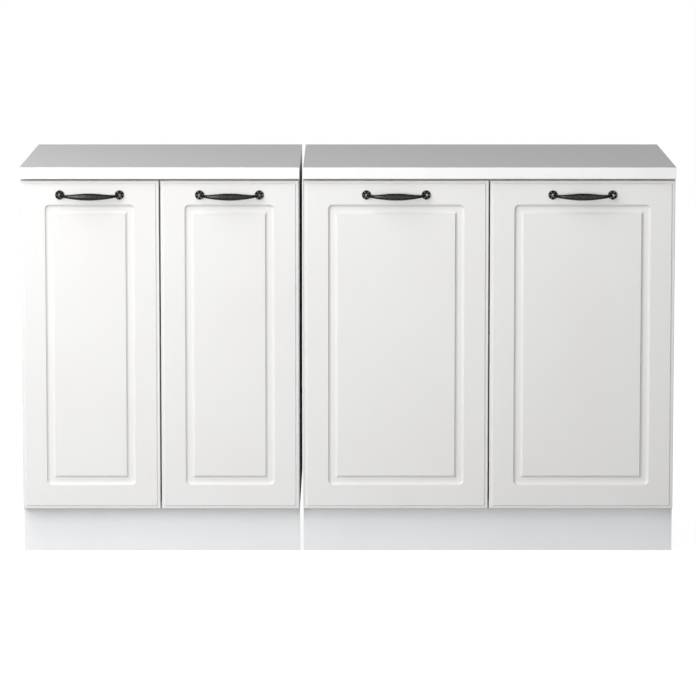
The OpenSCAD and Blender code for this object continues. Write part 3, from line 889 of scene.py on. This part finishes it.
@dataclass
class BowHandle:
    """A cast bow handle: a faceted grip that hangs from two flower rosettes."""

    reach: float = 25.0 * MM
    sag: float = 2.5 * MM
    grip_d: float = 15.5 * MM
    end_d: float = 5.2 * MM
    sides: int = 8
    rings: int = 44
    first_turn: float = 5.0
    step: float = 0.002
    taper: float = 1.5
    facet_edge: float = 0.45 * MM
    collar_at: float = 0.955
    collar_rise: float = 1.1 * MM
    collar_reach: float = 0.02
    rosette_d: float = 20.0 * MM
    rosette_t: float = 3.5 * MM
    rosette_edge: float = 0.3 * MM
    rosette_corners: int = 64
    rim: float = 1.1 * MM
    lip: float = 0.5 * MM
    slope: float = 1.0 * MM
    dish: float = 0.9 * MM
    boss_d: float = 9.0 * MM
    boss_h: float = 5.0 * MM
    boss_waist: float = 0.3 * MM
    boss_round: float = 0.9 * MM
    petals: int = 6
    petal: Triple = (1.35 * MM, 1.5 * MM, 2.1 * MM)
    petal_foot: float = 0.5 * MM
    petal_segments: int = 20
    petal_rings: int = 12

    def _axis(self, t: float) -> Vector:
        """Returns the grip's axis at t, from -1 at its left end to 1 at its right end."""
        depth = math.hypot(self.reach, self.sag)
        return Vector((t * HANDLE_PITCH / 2, -depth * math.sqrt(max(0.0, 1 - t ** 4)), 0))

    def _radius(self, t: float) -> float:
        """Works out how thick the grip is, with the collar near its ends.

        Args:
            t: The place along the grip, from -1 to 1.

        Returns:
            Its radius there.
        """
        swell = (self.grip_d - self.end_d) / 2 * math.cos(math.radians(90 * t)) ** self.taper
        collar = self.collar_rise * math.exp(-(((abs(t) - self.collar_at) / self.collar_reach) ** 2))
        return self.end_d / 2 + swell + collar

    def _heading(self, t: float) -> float:
        """Returns the turn of the grip's axis about Z at t, in radians."""
        run = self._axis(min(t + self.step, 1)) - self._axis(max(t - self.step, -1))
        return math.atan2(run.y, run.x)

    def _grip(self) -> Piece:
        """Draws an eight-sided ring out along the bow.

        Returns:
            The grip, with its ends inside the bosses.
        """
        span = 180 - 2 * self.first_turn
        stations = [-math.cos(math.radians(self.first_turn + span * i / self.rings))
                    for i in range(self.rings + 1)]
        first = stations[0]
        bpy.ops.mesh.primitive_circle_add(vertices=self.sides, radius=self._radius(first),
                                          fill_type="NGON", location=self._axis(first),
                                          rotation=(0, math.pi / 2, self._heading(first)))
        grip = seat(bpy.context.active_object)
        with editing(grip, "SELECT"):
            for last, t in zip(stations, stations[1:]):
                shift(self._axis(t) - self._axis(last))
                bpy.ops.transform.rotate(value=self._heading(last) - self._heading(t), orient_axis="Z",
                                         center_override=self._axis(t))
                bpy.ops.transform.resize(value=(self._radius(t) / self._radius(last),) * 3,
                                         center_override=self._axis(t))
        faced_out(grip)
        grip.rotation_euler.x = math.atan2(self.sag, self.reach)
        return seat(grip)

    def _rosette(self) -> Piece:
        """Models one rosette on the door's face at the origin: rim, dish, petals and boss.

        Returns:
            The rosette.
        """
        radius, boss = self.rosette_d / 2, self.boss_d / 2
        disc = drum("disc", radius, Vector(), Vector((0, -self.rosette_t / 2, 0)), self.rosette_corners)
        with editing(disc):
            pick_faces(disc, lambda at, normal: normal.y < -ALONG)
            inset(self.rim, self.rosette_t / 2)
            inset(self.lip)
            inset(self.slope, -self.dish)
            inset(radius - self.rim - self.lip - self.slope - boss)
            inset(self.boss_waist, self.dish + self.boss_h / 2)
            inset(self.boss_round, self.boss_h / 2)
        petals = []
        for i in range(self.petals):
            turn = Matrix.Rotation(math.radians((i + 0.5) * 360 / self.petals), 4, "Y")
            at = turn @ Vector((0, self.dish - self.rosette_t, (radius + boss) / 2))
            bpy.ops.mesh.primitive_uv_sphere_add(segments=self.petal_segments, ring_count=self.petal_rings,
                                                 radius=1.0)
            petal = bpy.context.active_object
            petal.matrix_world = Matrix.Translation(at) @ turn @ Matrix.Diagonal((*self.petal, 1))
            seat(petal)
            with editing(petal, "SELECT"):
                bpy.ops.mesh.bisect(plane_co=(0, -self.petal_foot, 0), plane_no=(0, 1, 0),
                                    clear_outer=True, use_fill=True)
            petals.append(petal)
        return joined("rosette", *petals, disc)

    def build(self, holders: dict[str, tuple[str, Vector]]) -> None:
        """Models one handle and places a copy on each door.

        Args:
            holders: For each handle's solid, its body and the middle between its screws on the door's face.
        """
        grip = self._grip()
        ease_edges(grip, self.facet_edge)
        left = self._rosette()
        ease_edges(left, self.rosette_edge)
        right = copied(left, "rosette_right", Matrix.Translation((HANDLE_PITCH / 2, 0, 0)))
        left.location.x = -HANDLE_PITCH / 2
        handle = joined("handle", right, seat(left), grip)
        for node, (body, at) in holders.items():
            piece = copied(handle, f"{node}_cast", Matrix.Translation(at))
            hand_over(piece, AntiqueIron(door_face=at.y), node, body)
        bpy.data.objects.remove(handle)


@dataclass
class Worktop:
    """A laminate worktop with softened front edges and thin strips on its sides."""

    unit: str
    front_round: float = 1.0 * MM
    front_steps: int = 4
    arris: float = 0.4 * MM

    def build(self) -> None:
        """Models and dresses the worktop."""
        low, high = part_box(f"{self.unit}_worktop")
        top = block(f"{self.unit}_laminate_worktop", low, high)
        with editing(top):
            pick_edges(top, lambda at, run: abs(run.x) > ALONG and at.y < low.y + MM)
            bpy.ops.mesh.bevel(offset=self.front_round, segments=self.front_steps, affect="EDGES")
        ease_edges(top, self.arris)
        hand_over(top, LAMINATE, f"{self.unit}_worktop")


@dataclass
class Plinth:
    """A foil-covered plinth board with a rebate behind its lower edge for a sealing strip."""

    unit: str
    arris: float = 0.4 * MM
    rebate_h: float = 7.0 * MM
    rebate_t: float = 1.0 * MM

    def build(self) -> None:
        """Models and dresses the plinth."""
        low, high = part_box(f"{self.unit}_plinth")
        step, back = low.z + self.rebate_h, Vector((0, self.rebate_t, 0))
        board = block(f"{self.unit}_foil_plinth", low, high - back)
        with editing(board, "SELECT"):
            bpy.ops.mesh.bisect(plane_co=(0, 0, step), plane_no=(0, 0, 1))
            pick_faces(board, lambda at, normal: normal.y > ALONG and at.z > step)
            shift(back)
        ease_edges(board, self.arris)
        hand_over(board, LIGHTENED_PLINTH_FOIL, f"{self.unit}_plinth")


@dataclass
class ScrewHead:
    """A raised screw head with a cross recess. Its crown steps in and up by shares of its size."""

    radius: float = 3.6 * MM
    height: float = 1.6 * MM
    slot_w: float = 1.1 * MM
    slot_deep: float = 1.2 * MM
    slot_reach: float = 0.62
    slot_taper: float = 0.55
    crown: tuple[Pair, ...] = ((0.18, 0.35), (0.25, 0.15))
    corners: int = 28
    crease: float = 35.0

    def make(self) -> Piece:
        """Models the head on the origin's XY plane.

        Returns:
            The head, which rises along +Z.
        """
        head = drum("head", self.radius, Vector(), Vector((0, 0, self.height / 2)), self.corners)
        with editing(head):
            pick_faces(head, lambda at, normal: normal.z > ALONG)
            for inwards, up in self.crown:
                inset(self.radius * inwards, self.height * up)
        reach, half, floor = self.radius * self.slot_reach, self.slot_w / 2, self.height - self.slot_deep
        arms = [block("arm", Vector((-x, -y, floor)), Vector((x, y, self.height + MM)))
                for x, y in ((reach, half), (half, reach))]
        for arm in arms:
            with editing(arm):
                pick_faces(arm, lambda at, normal: normal.z < -ALONG)
                bpy.ops.transform.resize(value=(self.slot_taper, self.slot_taper, 1.0),
                                         center_override=(0, 0, floor))
            cut(head, arm)
        smoothed(head, self.crease)
        return head

    def spread(self, places: Iterable[tuple[Vector, Vector]]) -> Piece:
        """Sets copies of the head out.

        Args:
            places: For each head, the middle of its base and the way that it looks.

        Returns:
            One piece with all of them.
        """
        head = self.make()
        copies = []
        for at, look in places:
            turn = look.to_track_quat("Z", "Y").to_matrix().to_4x4()
            copies.append(copied(head, "head", Matrix.Translation(at) @ turn))
        bpy.data.objects.remove(head)
        return joined("heads", *copies)


@dataclass
class EasedFitting:
    """A solid whose own shape is right: its copy is merged, eased along its edges and dressed."""

    unit: str
    node: str
    finish: Finish
    arris: float = 0.3 * MM
    segments: int = 2
    body: str = "units"
    extras: list[Piece] = field(default_factory=list)
    weld: float = 2 * SPECK
    flat: float = 0.5
    sharp: float = 40.0

    def build(self) -> None:
        """Copies, eases and dresses the fitting."""
        solid = f"{self.unit}_{self.node}"
        piece = bpy.data.objects.new(f"{solid}_eased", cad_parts[solid].data.copy())
        bpy.context.scene.collection.objects.link(piece)
        with editing(piece, "SELECT"):
            bpy.ops.mesh.remove_doubles(threshold=self.weld)
            bpy.ops.mesh.dissolve_limited(angle_limit=math.radians(self.flat))
        ease_edges(piece, self.arris, self.segments, self.sharp)
        if self.extras:
            piece = joined(piece.name, *self.extras, piece)
        hand_over(piece, self.finish, solid, self.body)


@dataclass
class Foot:
    """A screw foot: a pad with finger notches round it and a threaded stem."""

    pad_r: float = 25.0 * MM
    pad_t: float = 8.0 * MM
    pad_fillet: float = 2.0 * MM
    stem_r: float = 13.6 * MM
    stem_top: float = 89.0 * MM
    thread_pitch: float = 4.0 * MM
    thread_deep: float = 0.9 * MM
    corners: int = 48
    notch_every: int = 4
    notch_rim: float = 0.5 * MM
    notch_deep: float = 1.2 * MM
    arris: float = 0.25 * MM
    sharp: float = 40.0

    def _is_notch(self, at: Vector, normal: Vector) -> bool:
        """Says from a face's centre and normal whether a finger notch goes there."""
        number = round(math.degrees(math.atan2(at.y, at.x)) * self.corners / 360 - 0.5)
        return abs(normal.z) < 1 - ALONG and at.z < self.pad_t / 2 and number % self.notch_every == 0

    def make(self) -> Piece:
        """Models the foot on the origin.

        Returns:
            The foot.
        """
        foot = drum("foot", self.pad_r, Vector(), Vector((0, 0, self.pad_t - self.pad_fillet)),
                    self.corners)
        slim = (self.stem_r - self.thread_deep) / self.stem_r
        turns, neck = divmod(self.stem_top - self.pad_t, self.thread_pitch)
        with editing(foot):
            pick_faces(foot, lambda at, normal: normal.z > ALONG)
            inset(self.pad_fillet, self.pad_fillet)
            inset(self.pad_r - self.pad_fillet - self.stem_r)
            shift((0, 0, neck + 10 * SPECK))
            for ratio in (slim, 1.0, 1 / slim, 1.0) * int(turns):
                shift((0, 0, self.thread_pitch / 4))
                bpy.ops.transform.resize(value=(ratio, ratio, 1.0), center_override=(0, 0, 0))
            pick_faces(foot, self._is_notch)
            bpy.ops.mesh.inset(thickness=self.notch_rim, depth=-self.notch_deep, use_individual=True)
        ease_edges(foot, self.arris, 1, self.sharp)
        return foot


@dataclass
class LegSockets:
    """The four leg sockets of a unit: a screwed plate with a ribbed tube below it."""

    unit: str
    places: list[Vector]
    plate_w: float = 70.0 * MM
    plate_t: float = 4.0 * MM
    corner_r: float = 6.0 * MM
    corner_steps: int = 5
    tube_r: float = 18.0 * MM
    bore_r: float = 14.0 * MM
    tube_end: float = 8.3 * MM
    tube_roof: float = 0.2 * MM
    dowel_r: float = 5.0 * MM
    dowel_h: float = 10.0 * MM
    dowel_corners: int = 24
    ribs: int = 4
    rib_t: float = 2.4 * MM
    rib_w: float = 12.0 * MM
    rib_h: float = 26.0 * MM
    rib_foot: float = 1.5 * MM
    screw_at: float = 27.0 * MM
    screw_r: float = 4.0 * MM
    screw_h: float = 1.4 * MM
    arris: float = 0.4 * MM

    def _rib(self, number: int, under: float) -> Piece:
        """Models one rib, which is slim at its foot.

        Args:
            number: Its number round the tube.
            under: The height of the plate's underside.

        Returns:
            The rib.
        """
        rib = block("rib", Vector((self.tube_r - MM, -self.rib_t / 2, under - self.rib_h)),
                    Vector((self.tube_r + self.rib_w, self.rib_t / 2, under)))
        with editing(rib):
            pick_edges(rib, lambda at, run: abs(run.y) > ALONG and at.x > self.tube_r and at.z < under - MM)
            bpy.ops.transform.translate(value=(self.rib_foot - self.rib_w, 0, 0))
        rib.rotation_euler.z = math.tau * number / self.ribs
        return seat(rib)

    def _socket(self, top: float) -> Piece:
        """Models one socket on the origin, up to the height of the bottom panel's underside.

        Args:
            top: That height.

        Returns:
            The socket.
        """
        half, under = self.plate_w / 2, top - self.plate_t
        plate = block("plate", Vector((-half, -half, under)), Vector((half, half, top)))
        with editing(plate):
            pick_edges(plate, lambda at, run: abs(run.z) > ALONG)
            bpy.ops.mesh.bevel(offset=self.corner_r, segments=self.corner_steps, affect="EDGES")
        tube = drum("tube", self.tube_r, Vector((0, 0, self.tube_end)), Vector((0, 0, under)))
        with editing(tube):
            pick_faces(tube, lambda at, normal: normal.z < -ALONG)
            inset(self.tube_r - self.bore_r)
            shift((0, 0, under - self.tube_end - self.tube_roof))
        ribs = [self._rib(number, under) for number in range(self.ribs)]
        dowel = drum("dowel", self.dowel_r, Vector((0, 0, top)), Vector((0, 0, top + self.dowel_h)),
                     self.dowel_corners)
        sides = (-self.screw_at, self.screw_at)
        heads = ScrewHead(self.screw_r, self.screw_h).spread(
            [(Vector((x, y, under)), Vector((0, 0, -1))) for x in sides for y in sides])
        socket = joined("socket", *ribs, dowel, tube, plate)
        ease_edges(socket, self.arris)
        return joined("socket", heads, socket)

    def build(self) -> None:
        """Models one socket, sets four of them out and dresses them."""
        socket = self._socket(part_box(f"{self.unit}_bottom")[0].z)
        copies = [copied(socket, "copy", Matrix.Translation((at.x, at.y, 0))) for at in self.places]
        bpy.data.objects.remove(socket)
        piece = joined(f"{self.unit}_moulded_leg_sockets", *copies)
        hand_over(piece, PLASTIC, f"{self.unit}_leg_sockets")


@dataclass
class BaseUnit:
    """One base unit, dressed from its doors to its feet."""

    name: str
    panel_t: float = 16.0 * MM
    line_inset: float = 37.0 * MM
    line_pitch: float = 32.0 * MM
    plate_t: float = 2.4 * MM
    cup_screw_x: float = 31.5 * MM
    cup_screw_z: float = 22.5 * MM
    cup_screw_r: float = 3.4 * MM
    cup_screw_h: float = 1.2 * MM
    cup_slot_deep: float = 1.0 * MM
    flange_t: float = 1.0 * MM
    leg_side: float = 60.0 * MM
    leg_end: float = 75.0 * MM
    board_arris: float = 0.4 * MM
    corners: tuple[str, ...] = ("front_left", "front_right", "rear_left", "rear_right")

    def __post_init__(self) -> None:
        """Reads the unit's outline from its side panels."""
        self.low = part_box(f"{self.name}_side_left")[0]
        self.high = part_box(f"{self.name}_side_right")[1]
        door_low, door_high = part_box(f"{self.name}_door_left")
        self.hinge_heights = (door_low.z + HINGE_END, door_high.z - HINGE_END)

    def leg_places(self) -> list[Vector]:
        """Returns the leg axes, front left, front right, rear left and rear right."""
        return [Vector((x, y, 0)) for y in (self.low.y + self.leg_end, self.high.y - self.leg_end)
                for x in (self.low.x + self.leg_side, self.high.x - self.leg_side)]

    def from_side(self, hand: Hand, inwards: float) -> float:
        """Returns the place along X that lies so far in from a side's outer face."""
        return self.low.x + inwards if hand is Hand.LEFT else self.high.x - inwards

    def screw_heights(self, apart: float) -> list[float]:
        """Returns the heights that lie so far below and above the middle of each hinge."""
        return [z + side for z in self.hinge_heights for side in (-apart, apart)]

    def handle_places(self) -> dict[str, tuple[str, Vector]]:
        """Finds where the handles go.

        Returns:
            For each handle's solid, its body and the middle between its screws on the door's face.
        """
        found = {}
        for hand in Hand:
            low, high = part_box(f"{self.name}_door_{hand.value}")
            found[f"{self.name}_handle_{hand.value}"] = (
                f"{self.name}_{hand.value}_leaf",
                Vector(((low.x + high.x) / 2, low.y, high.z - HANDLE_DROP)))
        return found

    def _boards(self) -> None:
        """Eases and dresses the carcass boards."""
        side, front = f"{self.name}_board_side", self.low.y
        for node, finish, face, front_y in (
                ("side_left", side, BoardFace.SIDE, front), ("side_right", side, BoardFace.SIDE, front),
                ("bottom", "board_bottom", BoardFace.FLAT, front),
                ("rail_front", "board_bottom", BoardFace.FLAT, front),
                ("rail_rear", "board_rail_rear", BoardFace.FLAT, UNEDGED),
                ("shelf", "board_shelf", BoardFace.FLAT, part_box(f"{self.name}_shelf")[0].y)):
            coat = CoatedBoard(finish, face=face, front_y=front_y)
            EasedFitting(self.name, node, coat, self.board_arris).build()
        EasedFitting(self.name, "back_panel", HARDBOARD).build()

    def _hinges(self) -> None:
        """Dresses the hinge plates, arms and cups, with their screws."""
        plates = []
        for hand in Hand:
            leaf = f"{self.name}_{hand.value}_leaf"
            x, y = self.from_side(hand, self.panel_t + self.plate_t), self.low.y + self.line_inset
            inward = Vector((1 if hand is Hand.LEFT else -1, 0, 0))
            plates += [(Vector((x, y, z)), inward) for z in self.screw_heights(self.line_pitch / 2)]
            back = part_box(f"{self.name}_door_{hand.value}")[1].y + self.flange_t
            cups = [(Vector((self.from_side(hand, self.cup_screw_x), back, z)), Vector((0, 1, 0)))
                    for z in self.screw_heights(self.cup_screw_z)]
            heads = ScrewHead(self.cup_screw_r, self.cup_screw_h, slot_deep=self.cup_slot_deep).spread(cups)
            EasedFitting(self.name, f"hinge_cups_{hand.value}", NICKEL, arris=0.2 * MM, body=leaf,
                         extras=[heads]).build()
            EasedFitting(self.name, f"handle_screws_{hand.value}", NICKEL, arris=0.5 * MM, segments=3,
                         body=leaf).build()
        heads = ScrewHead().spread(plates)
        EasedFitting(self.name, "hinge_plates", NICKEL, arris=0.4 * MM, extras=[heads]).build()
        EasedFitting(self.name, "hinge_arms", NICKEL, arris=0.25 * MM).build()

    def _small_fittings(self) -> None:
        """Dresses the pins, cams, dowels, screws, clips and bumpers."""
        for node, finish, arris in (("shelf_pins", NICKEL, 0.3), ("cam_fittings", ZINC, 0.3),
                                    ("dowels", BEECH, 0.6), ("worktop_screws", NICKEL, 0.4),
                                    ("plinth_clips", PLASTIC, 0.4), ("bumpers", RUBBER, 0.8)):
            EasedFitting(self.name, node, finish, arris * MM).build()

    def _legs(self) -> None:
        """Dresses the sockets and the screw feet."""
        LegSockets(self.name, self.leg_places()).build()
        foot = Foot().make()
        for corner, at in zip(self.corners, self.leg_places()):
            piece = copied(foot, f"{self.name}_{corner}_screw_foot", Matrix.Translation(at))
            hand_over(piece, PLASTIC, f"{self.name}_foot_{corner}", f"{self.name}_{corner}_foot")
        bpy.data.objects.remove(foot)

    def build(self) -> None:
        """Builds every part of the unit but its handles."""
        self._boards()
        Worktop(self.name).build()
        Plinth(self.name).build()
        RoutedDoor(self.name).build()
        self._hinges()
        self._small_fittings()
        self._legs()


@dataclass(frozen=True)
class Lamp:
    """A soft rectangular lamp, with its size in metres and its power in watts."""

    name: str
    at: Triple
    towards: Triple
    size: Pair
    power: float

    def build(self) -> None:
        """Hangs the lamp and turns it towards what it lights."""
        light = bpy.data.lights.new(self.name, "AREA")
        light.shape = "RECTANGLE"
        light.size, light.size_y = self.size
        light.energy = self.power
        holder = bpy.data.objects.new(self.name, light)
        holder.location = self.at
        holder.rotation_euler = (Vector(self.towards) - holder.location).to_track_quat("-Z", "Y").to_euler()
        bpy.context.scene.collection.objects.link(holder)


@dataclass
class Studio:
    """The pale floor, the soft lamps and the camera."""

    floor_size: float = 60.0
    floor_gap: float = 0.2 * MM
    sky_light: float = 0.24
    camera_at: Triple = (0.0003, -9.600, 1.6587)
    camera_down: float = 7.389
    lens: float = 225.65
    sensor: float = 36.0
    lamps: tuple[Lamp, ...] = (
        Lamp("high", (-1.3, -1.5, 2.9), (-0.3, -0.2, 0.7), (2.0, 1.4), 34.0),
        Lamp("key", (-1.9, -2.4, 1.5), (-0.45, 0, 0.65), (1.8, 1.6), 48.0),
        Lamp("fill", (0.6, -5.0, 0.8), (0, 0, 0.45), (3.0, 1.0), 56.0),
        Lamp("back", (-2.3, 3.7, 2.7), (0, 0, 0.45), (2.0, 1.6), 56.0))

    def _world(self) -> None:
        """Makes the sky: white where it is seen, softer where it lights."""
        world = bpy.data.worlds.new("studio_sky")
        bpy.context.scene.world = world
        world.use_nodes = True
        sky = Recipe(world.node_tree, "Background")
        sky.shade(color=(1.0, 1.0, 1.0), strength=self.sky_light + sky.seen() * (1.0 - self.sky_light))

    def _floor(self) -> None:
        """Lays the floor under the feet."""
        bpy.ops.mesh.primitive_plane_add(size=self.floor_size, location=(0, 0, -self.floor_gap))
        floor = bpy.context.active_object
        floor.name = "studio_floor"
        WhiteGround().dress(floor)

    def _camera(self) -> None:
        """Sets the camera at the photograph's viewing angle."""
        eye = bpy.data.cameras.new("camera")
        eye.sensor_width, eye.lens = self.sensor, self.lens
        holder = bpy.data.objects.new("camera", eye)
        holder.location = self.camera_at
        holder.rotation_euler = (math.radians(90 - self.camera_down), 0, 0)
        bpy.context.scene.collection.objects.link(holder)
        bpy.context.scene.camera = holder

    def build(self) -> None:
        """Builds the studio."""
        bpy.context.scene.view_settings.view_transform = "Standard"
        self._camera()
        self._world()
        self._floor()
        for lamp in self.lamps:
            lamp.build()


def main() -> None:
    """Builds the studio and the two units."""
    logging.basicConfig(level=logging.INFO, format="%(name)s: %(message)s")
    Studio().build()
    units = [BaseUnit("narrow"), BaseUnit("wide")]
    for unit in units:
        unit.build()
    holders: dict[str, tuple[str, Vector]] = {}
    for unit in units:
        holders.update(unit.handle_places())
    BowHandle().build(holders)


if __name__ == "__main__":
    main()
